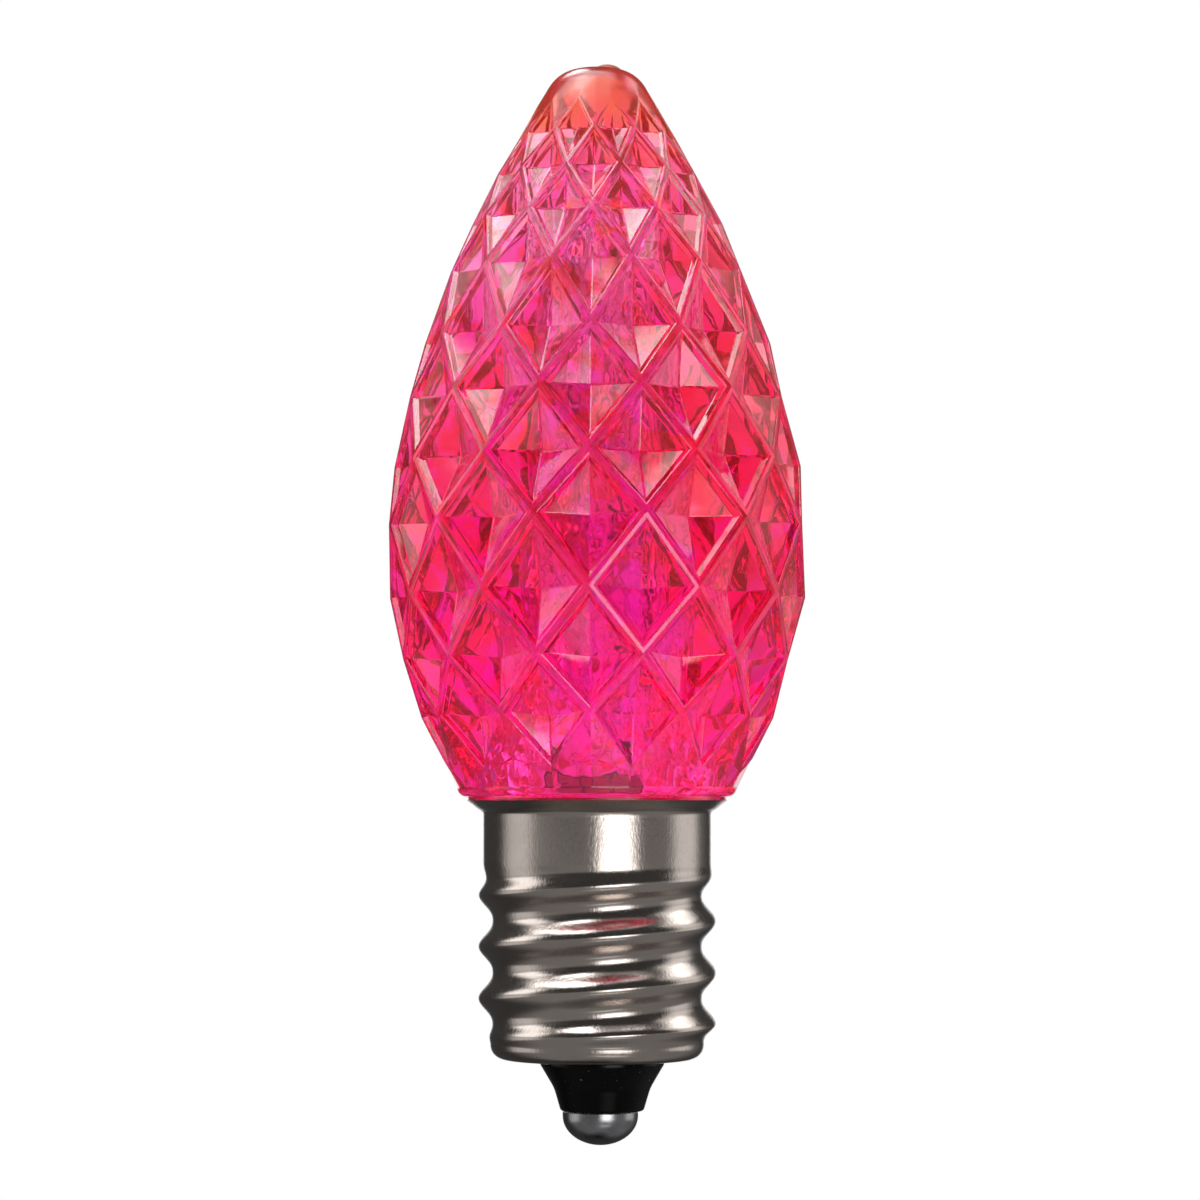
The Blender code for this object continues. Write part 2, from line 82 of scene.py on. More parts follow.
class Tree:
    """A node tree, with one short call for each kind of node."""
    def __init__(self, tree):
        self.tree = tree
        tree.nodes.clear()

    def node(self, kind, **settings):
        made = self.tree.nodes.new(kind)
        inputs = settings.pop("inputs", {})
        for name, value in settings.items():
            setattr(made, name, value)
        for name, value in inputs.items():
            self.feed(made.inputs[name], value)
        return made

    def feed(self, socket, value):
        if isinstance(value, bpy.types.NodeSocket):
            self.tree.links.new(value, socket)
        else:
            socket.default_value = value

    def axes(self, vector):
        return self.node("ShaderNodeSeparateXYZ", inputs={"Vector": vector}).outputs

    def math(self, operation, first, second=0.0):
        made = self.node("ShaderNodeMath", operation=operation)
        self.feed(made.inputs[0], first)
        self.feed(made.inputs[1], second)
        return made.outputs[0]

    def ramp(self, value, low, high, out_low=0.0, out_high=1.0, smooth=False):
        made = self.node("ShaderNodeMapRange")
        made.interpolation_type = "SMOOTHSTEP" if smooth else "LINEAR"
        for socket, item in zip(made.inputs, (value, low, high, out_low, out_high)):
            self.feed(socket, item)
        return made.outputs[0]

    def along(self, value, low, high, out_low=0.0, out_high=1.0):
        """A ramp over a length, whose two ends are in millimetres."""
        return self.ramp(value, low * MM, high * MM, out_low, out_high)

    def mix(self, share, first, second):
        made = self.node("ShaderNodeMix", data_type="RGBA")
        self.feed(made.inputs[0], share)
        self.feed(made.inputs[6], first)
        self.feed(made.inputs[7], second)
        return made.outputs[2]

    def noise(self, vector, scale, detail=2.0, rough=0.5, twist=0.0):
        made = self.node("ShaderNodeTexNoise", inputs={
            "Vector": vector, "Scale": scale, "Detail": detail, "Roughness": rough, "Distortion": twist})
        return made.outputs["Fac"]


def grey(value):
    return (value, value, value, 1.0)


# Studio. A direction is a unit vector: +y is away from the camera, +x to its right, and +z up.
# Each soft box gives, in degrees, the azimuth of its middle, half its width and half the width of its
# soft edges, with azimuth 0 towards the camera and 90 to its right. Then come its lowest and highest z,
# half the width of the soft edges there, and its power.
SOFT_BOXES = {
    "front": (22, 16, 9, -0.22, 0.03, 0.05, 4.5),
    "front_low": (20, 14, 9, -0.40, -0.22, 0.06, 1.3),
    "front_lowest": (19, 18, 12, -0.74, -0.60, 0.06, 0.8),
    "left": (-86, 18, 10, -0.34, 0.72, 0.08, 0.70),
    "left_high": (-88, 18, 8, 0.24, 0.76, 0.08, 1.4),
    "left_fill": (-62, 12, 24, -0.10, 0.45, 0.14, 0.18),
    "right": (104, 18, 10, -0.22, 0.80, 0.08, 0.85),
    "right_high": (110, 20, 8, 0.20, 0.80, 0.10, 0.40),
    "back_left": (-152, 14, 8, 0.68, 0.90, 0.05, 8.0),
    "top_left": (-110, 16, 8, 0.77, 0.92, 0.04, 3.0),
    "top_front": (-62, 42, 15, 0.86, 0.985, 0.05, 6.0),
    "back_right": (125, 16, 8, 0.56, 0.80, 0.06, 2.2),
    "wide_fill": (20, 115, 25, -2.0, 0.05, 0.06, 0.22),
}
DIM_LIGHT = 0.06
CEILING_LEFT, CEILING_RIGHT, CEILING_FRONT = 4.4, 2.4, 0.15
UNDERNEATH = 0.35

# Floor: half its size and its height in metres, its grey, and the height from which metal mirrors it
GROUND_SIZE, GROUND_HEIGHT, GROUND_GREY = 2.0, -0.12, 0.80
METAL_HEIGHT = 0.01
# How white the floor is through the lens, towards the camera and far back, and the backdrop at the left
GROUND_NEAR, GROUND_FAR, BACKDROP_LEFT = 0.12, 1.0, 0.50


def softbox(tree, azimuth, z, centre, half, soft, low, high, rise, power):
    """A soft patch of light, in the terms of the table above."""
    off = tree.math("SUBTRACT", azimuth, math.radians(centre))
    off = tree.math("ABSOLUTE", off)
    wide = tree.ramp(off, math.radians(half + soft), math.radians(half - soft), smooth=True)
    foot = tree.ramp(z, low - rise, low + rise, smooth=True)
    head = tree.ramp(z, high + rise, high - rise, smooth=True)
    patch = tree.math("MULTIPLY", wide, tree.math("MULTIPLY", foot, head))
    return tree.math("MULTIPLY", patch, power)


def studio_light(tree, x, y, z):
    """How bright the studio is in each direction."""
    azimuth = tree.math("ARCTAN2", x, tree.math("MULTIPLY", y, -1.0))
    boxes = [softbox(tree, azimuth, z, *box) for box in SOFT_BOXES.values()]
    total = DIM_LIGHT
    for box in boxes:
        total = tree.math("ADD", box, total)
    ceiling = tree.ramp(z, 0.88, 0.96, smooth=True)
    ceiling = tree.math("MULTIPLY", ceiling, tree.ramp(x, -0.4, 0.4, CEILING_LEFT, CEILING_RIGHT))
    ceiling = tree.math("MULTIPLY", ceiling, tree.ramp(y, -0.30, 0.0, CEILING_FRONT, 1.0))
    total = tree.math("ADD", total, ceiling)
    return tree.math("MULTIPLY", total, tree.ramp(z, -0.99, -0.93, UNDERNEATH, 1.0))


def backdrop(tree, x, y):
    """How white the background is in each direction, where it is seen through the lens."""
    behind = tree.ramp(y, 0.20, 0.68, smooth=True)
    return tree.math("MULTIPLY", behind, tree.ramp(x, -0.65, -0.25, BACKDROP_LEFT, 1.0))


def straight_behind(tree, y):
    """Where metal mirrors the white background, at the very edge of its outline."""
    return tree.ramp(y, 0.955, 0.975)


def add_world():
    """White to the camera, the backdrop through the lens, and the studio's light for all other rays."""
    world = bpy.data.worlds.new("studio")
    bpy.context.scene.world = world
    world.use_nodes = True
    tree = Tree(world.node_tree)
    x, y, z = tree.axes(tree.node("ShaderNodeTexCoord").outputs["Generated"])
    total = studio_light(tree, x, y, z)
    rays = tree.node("ShaderNodeLightPath").outputs
    through = tree.math("MULTIPLY", rays["Is Transmission Ray"], backdrop(tree, x, y))
    mirror = tree.math("MULTIPLY", rays["Is Glossy Ray"], straight_behind(tree, y))
    white = tree.math("MAXIMUM", rays["Is Camera Ray"], tree.math("MAXIMUM", through, mirror))
    strength = tree.math("MULTIPLY", total, tree.math("SUBTRACT", 1.0, white))
    strength = tree.math("ADD", strength, white)
    light = tree.node("ShaderNodeBackground", inputs={"Color": grey(1.0), "Strength": strength})
    tree.node("ShaderNodeOutputWorld", inputs={"Surface": light.outputs[0]})


def floor_paint():
    """White to the camera and, far back, through the lens; the metal sees the studio's light in it."""
    paint = bpy.data.materials.new("floor")
    paint.use_nodes = True
    tree = Tree(paint.node_tree)
    place = tree.node("ShaderNodeTexCoord").outputs["Object"]
    below = tree.node("ShaderNodeVectorMath", operation="ADD", inputs={
        0: place, 1: (0.0, 0.0, GROUND_HEIGHT - METAL_HEIGHT)})
    aim = tree.node("ShaderNodeVectorMath", operation="NORMALIZE", inputs={0: below.outputs[0]})
    x, y, z = tree.axes(aim.outputs[0])
    total = studio_light(tree, x, y, z)
    total = tree.math("MAXIMUM", total, straight_behind(tree, y))
    matt = tree.node("ShaderNodeBsdfDiffuse", inputs={"Color": grey(GROUND_GREY)})
    seen = tree.node("ShaderNodeEmission", inputs={"Color": grey(1.0), "Strength": total})
    rays = tree.node("ShaderNodeLightPath").outputs
    glow = tree.ramp(y, -0.10, 0.50, GROUND_NEAR, GROUND_FAR, smooth=True)
    glow = tree.math("MAXIMUM", glow, rays["Is Camera Ray"])
    white = tree.node("ShaderNodeEmission", inputs={"Color": grey(1.0), "Strength": glow})
    plain = tree.math("MAXIMUM", rays["Is Camera Ray"], rays["Is Transmission Ray"])
    mirror = tree.node("ShaderNodeMixShader", inputs={
        0: rays["Is Glossy Ray"], 1: matt.outputs[0], 2: seen.outputs[0]})
    mixed = tree.node("ShaderNodeMixShader", inputs={
        0: plain, 1: mirror.outputs[0], 2: white.outputs[0]})
    tree.node("ShaderNodeOutputMaterial", inputs={"Surface": mixed.outputs[0]})
    return paint


def add_floor():
    bm = bmesh.new()
    bmesh.ops.create_grid(bm, x_segments=1, y_segments=1, size=GROUND_SIZE)
    floor = add_object("floor", bm)
    floor.location.z = GROUND_HEIGHT
    floor.data.materials.append(floor_paint())


class Paint(Tree):
    """A new material with a Principled shader."""
    def __init__(self, name):
        self.material = bpy.data.materials.new(name)
        self.material.use_nodes = True
        super().__init__(self.material.node_tree)
        self.shader = self.node("ShaderNodeBsdfPrincipled")
        self.out = self.node("ShaderNodeOutputMaterial", inputs={"Surface": self.shader.outputs[0]})
        self.place = self.node("ShaderNodeTexCoord").outputs["Object"]

    def set(self, name, value):
        self.feed(self.shader.inputs[name], value)

    def stretched(self, height_scale):
        made = self.node("ShaderNodeMapping", inputs={
            "Vector": self.place, "Scale": (1.0, 1.0, height_scale)})
        return made.outputs[0]

    def bump(self, height, strength, distance):
        made = self.node("ShaderNodeBump", inputs={
            "Strength": strength, "Distance": distance, "Height": height})
        self.set("Normal", made.outputs[0])


# Plastic of the lens: its dye, the tints of its outer side and of the hollow's wall with painted shade
# and highlights in them, and a painted glow, though the lens is no lamp. Heights and places to the side
# are in millimetres.
DYE, DYE_DENSITY = (0.997, 0.12, 0.76, 1.0), 300.0
PLASTIC_IOR, CLEARNESS = 1.56, 0.97
MAGENTA = (1.0, 0.25, 0.80, 1.0)
ORANGE_LOW, ORANGE_HIGH = (1.0, 0.25, 0.40, 1.0), (1.0, 0.33, 0.13, 1.0)
# Whitish tint of the painted highlight high up on the left, and darker tint of the painted shade at the
# foot
PAINTED_HIGHLIGHT_TINT = (1.0, 0.97, 0.84, 1.0)
PAINTED_SHADE_FOOT = (0.78, 0.32, 0.60, 1.0)
ORANGE_TIP = (1.0, 0.62, 0.14, 1.0)
# The hollow's wall: lilac, and nearly clear high up on the left as a painted highlight
LILAC, CLEAR_FOR_PAINTED_HIGHLIGHT = (0.96, 0.70, 1.0, 1.0), (1.0, 0.92, 0.95, 1.0)
# Colours and power of the painted glow; the lens is no lamp
PAINTED_GLOW_FOOT, PAINTED_GLOW_MIDDLE = (1.0, 0.008, 0.16, 1.0), (0.24, 0.003, 0.05, 1.0)
PAINTED_GLOW_TOP, PAINTED_GLOW_TIP = (0.50, 0.22, 0.20, 1.0), (0.50, 0.09, 0.04, 1.0)
PAINTED_GLOW_POWER = 0.08
RIB_DULL, CAP_DULL, GATE_DULL, INSIDE_DULL = 0.12, 0.16, 0.45, 0.04
INSIDE_WAVES, OUTSIDE_WAVES = 16.0, 2.0
MAGENTA_MIDDLE, FOOT_RAGGED = 0.6 * MM, 3.0 * MM


def outer_tint(paint, x, height):
    """Swirls of magenta, mostly in the middle, in orange. The foot is darker, a painted shade, and the
    tip is orange.
    High up, most of them on the left, there are whitish patches of painted highlight."""
    swirl = paint.noise(paint.place, 330.0, 1.0, twist=1.2)
    middle = paint.math("ABSOLUTE", paint.math("ADD", x, -MAGENTA_MIDDLE))
    share = paint.along(middle, 1.5, 5.0, 0.06, -0.03)
    share = paint.math("ADD", share, paint.along(x, 1.0, 7.0, 0.0, -0.11))
    share = paint.math("ADD", share, paint.along(x, -9.0, -6.0, -0.07, 0.0))
    share = paint.math("ADD", share, paint.along(height, 24.0, 40.0, 0.05, -0.03))
    magenta = paint.ramp(paint.math("ADD", swirl, share), 0.505, 0.545, smooth=True)
    orange = paint.mix(paint.along(height, 22.0, 34.0), ORANGE_LOW, ORANGE_HIGH)
    tint = paint.mix(magenta, orange, MAGENTA)
    # Painted highlight: whitish patches high up, most of them on the left
    painted_highlight = paint.ramp(paint.noise(paint.place, 460.0, 2.0, twist=0.8), 0.40, 0.50, smooth=True)
    painted_highlight = paint.math("MULTIPLY", painted_highlight, paint.along(height, 28.0, 42.0))
    painted_highlight = paint.math("MULTIPLY", painted_highlight, paint.along(x, -2.0, 4.0, 1.0, 0.30))
    tint = paint.mix(painted_highlight, tint, PAINTED_HIGHLIGHT_TINT)
    # Painted shade: the foot is darker, up to a ragged edge
    ragged = paint.math("MULTIPLY", paint.math("SUBTRACT", swirl, 0.5), FOOT_RAGGED)
    ragged = paint.math("ADD", height, ragged)
    tint = paint.mix(paint.along(ragged, 19.4, 20.0), PAINTED_SHADE_FOOT, tint)
    return paint.mix(paint.along(height, 47.0, 51.0), tint, ORANGE_TIP)


def inner_tint(paint, x, height):
    """The hollow's wall is a little lilac, and nearly clear high up on the left, a painted highlight
    that lightens that side.
    """
    clear = paint.along(height, 37.0, 43.0)
    clear = paint.math("MULTIPLY", clear, paint.along(x, 0.0, 4.0, 1.0, 0.3))
    return paint.mix(clear, LILAC, CLEAR_FOR_PAINTED_HIGHLIGHT)


def painted_lens_glow(paint, height):
    """Painted glow, though the lens is no lamp: pink at the foot, dimmer in the middle, paler near the
    top and orange at the tip.
    """
    glow = paint.mix(paint.along(height, 19.0, 28.0), PAINTED_GLOW_FOOT, PAINTED_GLOW_MIDDLE)
    glow = paint.mix(paint.along(height, 34.0, 47.0), glow, PAINTED_GLOW_TOP)
    return paint.mix(paint.along(height, 47.0, 49.0), glow, PAINTED_GLOW_TIP)


def lens_roughness(paint, height, outer):
    """Cloudy, and duller on the ribs, on the cap, on the hollow's wall and on the torn gate mark."""
    cloud = paint.ramp(paint.noise(paint.place, 900.0, 3.0), 0.35, 0.7, 0.02, 0.06)
    gate = paint.along(height, 53.34, 53.42, 0.0, GATE_DULL)
    ribs = paint.node("ShaderNodeAttribute", attribute_name="rib").outputs["Fac"]
    ribs = paint.math("MULTIPLY", ribs, RIB_DULL)
    dull = paint.math("ADD", ribs, paint.along(height, 50.0, 52.0, 0.0, CAP_DULL))
    inside = paint.math("SUBTRACT", INSIDE_DULL, paint.math("MULTIPLY", outer, INSIDE_DULL))
    dull = paint.math("ADD", dull, inside)
    return paint.math("ADD", paint.math("ADD", cloud, gate), dull)


def lens_relief(paint, outer):
    """Ripples with patches of fine scratches; the hollow's wall is much wavier than the outside."""
    scratches = paint.ramp(paint.noise(paint.stretched(0.22), 5200.0, 3.0, 0.6), 0.5, 0.75)
    patches = paint.ramp(paint.noise(paint.place, 260.0, 2.0), 0.48, 0.62)
    ripple = paint.noise(paint.place, 420.0, 2.0)
    scratches = paint.math("MULTIPLY", paint.math("MULTIPLY", scratches, patches), 0.03)
    waves = paint.ramp(outer, 0.0, 1.0, INSIDE_WAVES, OUTSIDE_WAVES)
    return paint.math("MULTIPLY", paint.math("ADD", ripple, scratches), waves)


def lens_paint():
    """Clear pink plastic, tinted in its volume and on both of its sides. outer is 1 on the outside."""
    paint = Paint("lens_pink")
    x, y, height = paint.axes(paint.place)
    squares = paint.math("ADD", paint.math("MULTIPLY", x, x), paint.math("MULTIPLY", y, y))
    radius = paint.math("SQRT", squares)
    outer = paint.math("MAXIMUM", paint.along(radius, 4.5, 4.8), paint.along(height, 46.6, 46.9))
    outside = outer_tint(paint, x, height)
    inside = inner_tint(paint, x, height)
    paint.set("Base Color", paint.mix(outer, inside, outside))
    paint.set("Transmission Weight", CLEARNESS)
    paint.set("IOR", PLASTIC_IOR)
    # Painted glow: the lens gives off a little light of its own, though it is no lamp
    paint.set("Emission Color", painted_lens_glow(paint, height))
    paint.set("Emission Strength", PAINTED_GLOW_POWER)
    paint.set("Roughness", lens_roughness(paint, height, outer))
    paint.bump(lens_relief(paint, outer), strength=0.5, distance=0.00007)
    volume = paint.node("ShaderNodeVolumeAbsorption", inputs={"Color": DYE, "Density": DYE_DENSITY})
    paint.feed(paint.out.inputs["Volume"], volume.outputs[0])
    return paint.material


# Metals, and the pieces inside
NICKEL_DARK, NICKEL_LIGHT = (0.43, 0.378, 0.342, 1.0), (0.51, 0.452, 0.412, 1.0)
SOLDER_LIGHT = (0.36, 0.36, 0.38, 1.0)
BOARD_DARK, BOARD_LIGHT = (0.012, 0.05, 0.025, 1.0), (0.03, 0.10, 0.05, 1.0)
CHIP_YELLOW, CHIP_WHITE = (0.70, 0.62, 0.30, 1.0), (0.82, 0.78, 0.60, 1.0)
ROUGH_SPREAD = 0.06


def nickel_paint():
    """Satin nickel plate with a fine grain drawn along the axis."""
    paint = Paint("satin_nickel")
    paint.set("Metallic", 1.0)
    broad = paint.ramp(paint.noise(paint.place, 260.0, 4.0), 0.3, 0.7)
    paint.set("Base Color", paint.mix(broad, NICKEL_DARK, NICKEL_LIGHT))
    grain = paint.noise(paint.stretched(0.45), 9000.0, 2.0, 0.6)
    paint.set("Roughness", paint.ramp(grain, 0.3, 0.75, 0.12, 0.26))
    paint.bump(grain, strength=0.22, distance=0.00003)
    return paint.material


def black_paint():
    """Glossy black plastic with small paler specks and shallow waves."""
    paint = Paint("gloss_black")
    paler_specks = paint.ramp(paint.noise(paint.place, 5200.0, 2.0), 0.70, 0.76)
    paint.set("Base Color", paint.mix(paler_specks, grey(0.001), grey(0.09)))
    paint.set("IOR", 1.30)
    paint.set("Specular IOR Level", 0.25)
    paint.set("Roughness", paint.ramp(paint.noise(paint.place, 700.0), 0.3, 0.7, 0.06, 0.22))
    paint.bump(paint.noise(paint.place, 900.0, 3.0), strength=0.3, distance=0.00006)
    return paint.material


def solder_paint():
    """Dull solder with a mottled skin."""
    paint = Paint("solder")
    paint.set("Metallic", 1.0)
    mottle = paint.noise(paint.place, 1400.0, 4.0)
    paint.set("Base Color", paint.mix(paint.ramp(mottle, 0.35, 0.65), grey(0.25), SOLDER_LIGHT))
    paint.set("Roughness", paint.ramp(mottle, 0.3, 0.7, 0.16, 0.28))
    paint.bump(mottle, strength=0.25, distance=0.00004)
    return paint.material


def plain_paint(name, dark, light, rough, scale, metallic=0.0):
    """A mottled finish between two colours, for the pieces inside."""
    paint = Paint(name)
    paint.set("Metallic", metallic)
    mottle = paint.noise(paint.place, scale, 3.0)
    paint.set("Base Color", paint.mix(paint.ramp(mottle, 0.35, 0.65), dark, light))
    paint.set("Roughness", paint.ramp(mottle, 0.3, 0.7, rough - ROUGH_SPREAD, rough + ROUGH_SPREAD))
    paint.bump(mottle, strength=0.25, distance=0.00003)
    return paint.material


# Lens, with the same rib lattice as the frame's, in millimetres. Each ring of the lattice has a share of
# the lens's height and a share of its radius.
RIM_HEIGHT, LENS_HEIGHT, LENS_RADIUS = 16.90, 36.46, 10.47
LENS_TOP = RIM_HEIGHT + LENS_HEIGHT
LATTICE = (
    (0.949, 0.287), (0.905, 0.375), (0.850, 0.485), (0.787, 0.597), (0.716, 0.706), (0.623, 0.822),
    (0.542, 0.903), (0.454, 0.965), (0.370, 1.000), (0.275, 0.984), (0.188, 0.929), (0.112, 0.832),
    (0.036, 0.697),
)
FACETS = 12
CAP_SHOULDER, CAP_ROUND, CAP_PARTS = 1.88, 1.10, 10
COLLAR_RADIUS, COLLAR_HEIGHT, COLLAR_PARTS = 6.93, 17.55, 12
LIP_RADIUS, LIP_HEIGHT = 6.48, 17.07
NECK = ((16.346, 5.37), (13.95, 5.37))
RIB_HALF, RIB_SIDE, RIB_RISE = 0.23, 0.22, 0.27
PIT_DEPTH, PIT_DROP, PIT_LEAST = 1.25, 0.10, 0.35
ARCH_RISE, ARCH_STEP = 0.74, 0.10
EDGE_ROUND, EDGE_PARTS = 0.06, 2
HOLLOW_FOOT, HOLLOW_TAPER, HOLLOW_TOP = 12.95, 13.95, 46.50
HOLLOW_MOUTH, HOLLOW_TIP = 4.40, 3.00
HOLLOW_DOME, DOME_PARTS, HOLLOW_STEPS = 1.40, 10, 72
EAR_SLOTS, EAR_SLOTS_HEIGHT = (9.54, 0.90, 3.50), 14.70
GATE_SIZE, GATE_PLACE, GATE_FINENESS = (0.82, 0.70, 0.56), (0.50, -0.20, 53.06), 4


def rounded(points, sizes, parts=5):
    """A profile with its corners rounded; sizes holds how far each round reaches from its corner."""
    out = []
    for index, (point, size) in enumerate(zip(points, sizes)):
        if size == 0.0:
            out.append(point)
            continue
        here = Vector(point)
        before = Vector(points[index - 1])
        after = Vector(points[(index + 1) % len(points)])
        start = here + (before - here).normalized() * size
        end = here + (after - here).normalized() * size
        for part in range(parts + 1):
            share = part / parts
            out.append(tuple(start * (1 - share)**2 + here * 2 * share * (1 - share) + end * share**2))
    return out


def ring_size(shares):
    """Height and radius of a ring of the lattice."""
    return RIM_HEIGHT + shares[0] * LENS_HEIGHT, shares[1] * LENS_RADIUS


def ring_row(bm, ring, count, offset=0.0):
    """New points round the axis, the first one towards the camera."""
    height, radius = ring
    row = []
    for index in range(count):
        angle = 1.5 * math.pi + TURN * (index + offset) / count
        place = Vector((radius * math.cos(angle), radius * math.sin(angle), height)) * MM
        row.append(bm.verts.new(place))
    return row


def stitch(bm, upper, ring):
    """Faces from a row to a new ring, five-sided ones where the ring has twice as many points."""
    size = 4 * FACETS
    row = ring_row(bm, ring, size)
    for index in range(len(upper)):
        near = (index + 1) % len(upper)
        if len(upper) == size:
            bm.faces.new((upper[index], upper[near], row[near], row[index]))
        else:
            bm.faces.new((upper[index], upper[near], row[(2 * index + 2) % size], row[2 * index + 1],
                          row[2 * index]))
    return row


def cap_rings(foot):
    """Rings of the smooth cap, from the top ring of the lattice to the flat round the gate mark."""
    line = rounded([foot, (LENS_TOP, CAP_SHOULDER), (LENS_TOP, 0.0)], [0.0, CAP_ROUND, 0.0], CAP_PARTS)
    return line[1:-1]


def collar_rings():
    """Rings of the collar's rounded edge, down to its lip."""
    rings = []
    for part in range(1, COLLAR_PARTS + 1):
        turn = 0.5 * math.pi * part / COLLAR_PARTS
        rings.append((COLLAR_HEIGHT - (COLLAR_HEIGHT - LIP_HEIGHT) * math.sin(turn),
                      LIP_RADIUS + (COLLAR_RADIUS - LIP_RADIUS) * math.cos(turn)))
    return rings


def add_diamonds(bm, rows):
    """A face for every diamond, each with the number of its ring."""
    diamonds = []
    for level in range(1, len(rows) - 1):
        shift = 0 if level % 2 == 1 else 1
        for index in range(FACETS):
            above = rows[level - 1][(index + shift) % FACETS]
            below = rows[level + 1][(index + shift) % FACETS]
            right = rows[level][(index + 1) % FACETS]
            diamonds.append((level, bm.faces.new((rows[level][index], below, right, above))))
    return diamonds


def add_cap(bm, rings, rows):
    """The upper edge of the lattice, then the smooth cap up to the point on the axis."""
    between = ring_row(bm, rings[0], FACETS)
    upper = []
    for index in range(FACETS):
        upper += [between[index], rows[0][index]]
        bm.faces.new((rows[1][index], rows[0][index], between[index], rows[0][index - 1]))
    for ring in cap_rings(rings[0]):
        upper = stitch(bm, upper, ring)
    top = bm.verts.new((0.0, 0.0, LENS_TOP * MM))
    for index in range(len(upper)):
        bm.faces.new((upper[index], upper[(index + 1) % len(upper)], top))


def add_foot(bm, rings, rows):
    """The stepped arches under the lowest ribs, then the collar, its lip and the neck."""
    fine = 2 * FACETS
    collar = ring_row(bm, (COLLAR_HEIGHT, COLLAR_RADIUS), fine)
    peak_height, peak_radius = rings[-2]
    foot_height, foot_radius = rings[-1]
    share = ARCH_RISE / (peak_height - foot_height)
    arch_height = foot_height + ARCH_RISE
    arch_radius = foot_radius + share * (peak_radius - foot_radius)
    arches = ring_row(bm, (arch_height, arch_radius), FACETS)
    steps = ring_row(bm, (arch_height - ARCH_STEP, arch_radius - ARCH_STEP), FACETS)
    for index in range(FACETS):
        peak = rows[-2][index]
        for foot, side in ((rows[-1][index - 1], 2 * index - 1), (rows[-1][index], 2 * index + 1)):
            bm.faces.new((peak, foot, arches[index]))
            bm.faces.new((foot, steps[index], arches[index]))
            bm.faces.new((foot, collar[side % fine], collar[2 * index], steps[index]))
    lower = collar
    for ring in collar_rings() + list(NECK):
        lower = stitch(bm, lower, ring)
    bm.faces.new(lower)


def lattice_body():
    """The outside of the lens, with plain diamonds. Every second ring is turned by half a facet."""
    bm = bmesh.new()
    bm.faces.layers.float.new("rib")
    rings = [ring_size(shares) for shares in LATTICE]
    rows = []
    for level, ring in enumerate(rings):
        rows.append(ring_row(bm, ring, FACETS, 0.5 if level % 2 == 0 else 0.0))
    diamonds = add_diamonds(bm, rows)
    add_cap(bm, rings, rows)
    add_foot(bm, rings, rows)
    bmesh.ops.recalc_face_normals(bm, faces=bm.faces)
    return bm, diamonds, rings


def cut_pits(bm, diamonds, rings):
    """Sinks a four-sided pit with stepped edges into every diamond, marks the ribs and rounds edges."""
    worn = set()
    rib = bm.faces.layers.float["rib"]
    for level in range(1, len(rings) - 1):
        faces = [face for row, face in diamonds if row == level]
        height, radius = rings[level]
        scale = PIT_LEAST + (1.0 - PIT_LEAST) * radius / LENS_RADIUS
        tops = bmesh.ops.inset_individual(bm, faces=faces, thickness=RIB_HALF * scale * MM,
                                          use_even_offset=True)
        for face in tops["faces"]:
            face[rib] = 1.0
        worn.update(edge for face in faces for edge in face.edges)
        bmesh.ops.inset_individual(bm, faces=faces, thickness=RIB_SIDE * scale * MM,
                                   depth=-RIB_RISE * scale * MM, use_even_offset=True)
        worn.update(edge for face in faces for edge in face.edges)
        bottoms = bmesh.ops.poke(bm, faces=faces)["verts"]
        deep = radius - PIT_DEPTH * scale
        for bottom in bottoms:
            angle = math.atan2(bottom.co.y, bottom.co.x)
            place = Vector((deep * math.cos(angle), deep * math.sin(angle), height - PIT_DROP * scale))
            bottom.co = place * MM
            worn.update(bottom.link_edges)
    bmesh.ops.bevel(bm, geom=list(worn), offset=EDGE_ROUND * MM, offset_type="OFFSET",
                    segments=EDGE_PARTS, profile=0.5, affect="EDGES", clamp_overlap=False)


def add_object(name, bm):
    """Makes an object of the scene from a mesh in the making, which is freed."""
    mesh = bpy.data.meshes.new(name)
    bm.to_mesh(mesh)
    bm.free()
    thing = bpy.data.objects.new(name, mesh)
    bpy.context.scene.collection.objects.link(thing)
    return thing


def placed(name, bm, size, place):
    """An object from a form of size 1, scaled and moved in millimetres."""
    bmesh.ops.scale(bm, vec=Vector(size) * MM, verts=bm.verts)
    bmesh.ops.translate(bm, vec=Vector(place) * MM, verts=bm.verts)
    return add_object(name, bm)


def block(name, size, height):
    """A box with its middle on the axis."""
    bm = bmesh.new()
    bmesh.ops.create_cube(bm, size=1.0)
    return placed(name, bm, size, (0.0, 0.0, height))


def spun(points, steps):
    """A form turned round the axis, from points of a radius and a height in millimetres."""
    bm = bmesh.new()
    chain = [bm.verts.new((radius * MM, 0.0, height * MM)) for radius, height in points]
    edges = [bm.edges.new(pair) for pair in zip(chain, chain[1:])]
    bmesh.ops.spin(bm, geom=chain + edges, cent=(0, 0, 0), axis=(0, 0, 1), angle=TURN, steps=steps,
                   use_merge=True)
    bmesh.ops.remove_doubles(bm, verts=bm.verts, dist=1e-7)
    bmesh.ops.recalc_face_normals(bm, faces=bm.faces)
    return bm


def apply(thing):
    """Makes a thing's modifiers part of its mesh."""
    graph = bpy.context.evaluated_depsgraph_get()
    graph.update()
    mesh = bpy.data.meshes.new_from_object(thing.evaluated_get(graph))
    thing.modifiers.clear()
    thing.data = mesh


def cut(thing, tool, operation="DIFFERENCE"):
    """Takes the tool away from the thing, or joins it on, and removes the tool."""
    step = thing.modifiers.new("cut", "BOOLEAN")
    step.operation = operation
    step.solver = "EXACT"
    step.object = tool
    apply(thing)
    bpy.data.objects.remove(tool, do_unlink=True)


